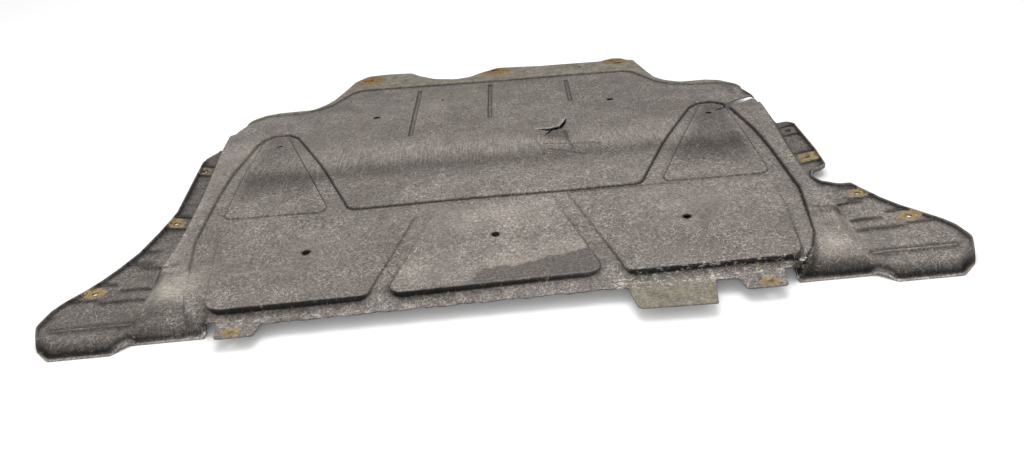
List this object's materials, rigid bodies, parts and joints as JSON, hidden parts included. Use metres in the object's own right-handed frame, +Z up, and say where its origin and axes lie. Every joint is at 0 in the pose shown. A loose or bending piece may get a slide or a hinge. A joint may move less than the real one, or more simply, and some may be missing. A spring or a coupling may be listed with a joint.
{
  "type": "engine splash shield",
  "caption": "Wide moulded plastic undertray with side wings, raised panels, a ridge and slotted rear flange, bolted under an engine bay to keep water and grit out.",
  "frame": {"origin": "middle of the bounding box in plan, at the lowest point of the wing front lips, with the sheet lying road side up", "axes": "+X across the car along the longest side, +Y from the front edge to the rear edge, +Z up out of the road-side face"},
  "size_m": [1.495, 1.0838, 0.0616],
  "materials": {
    "plastic": "worn, dusty, scratched grain"
  },
  "bodies": {
    "root": {"splash_shield": "plastic"}
  },
  "joints": []
}
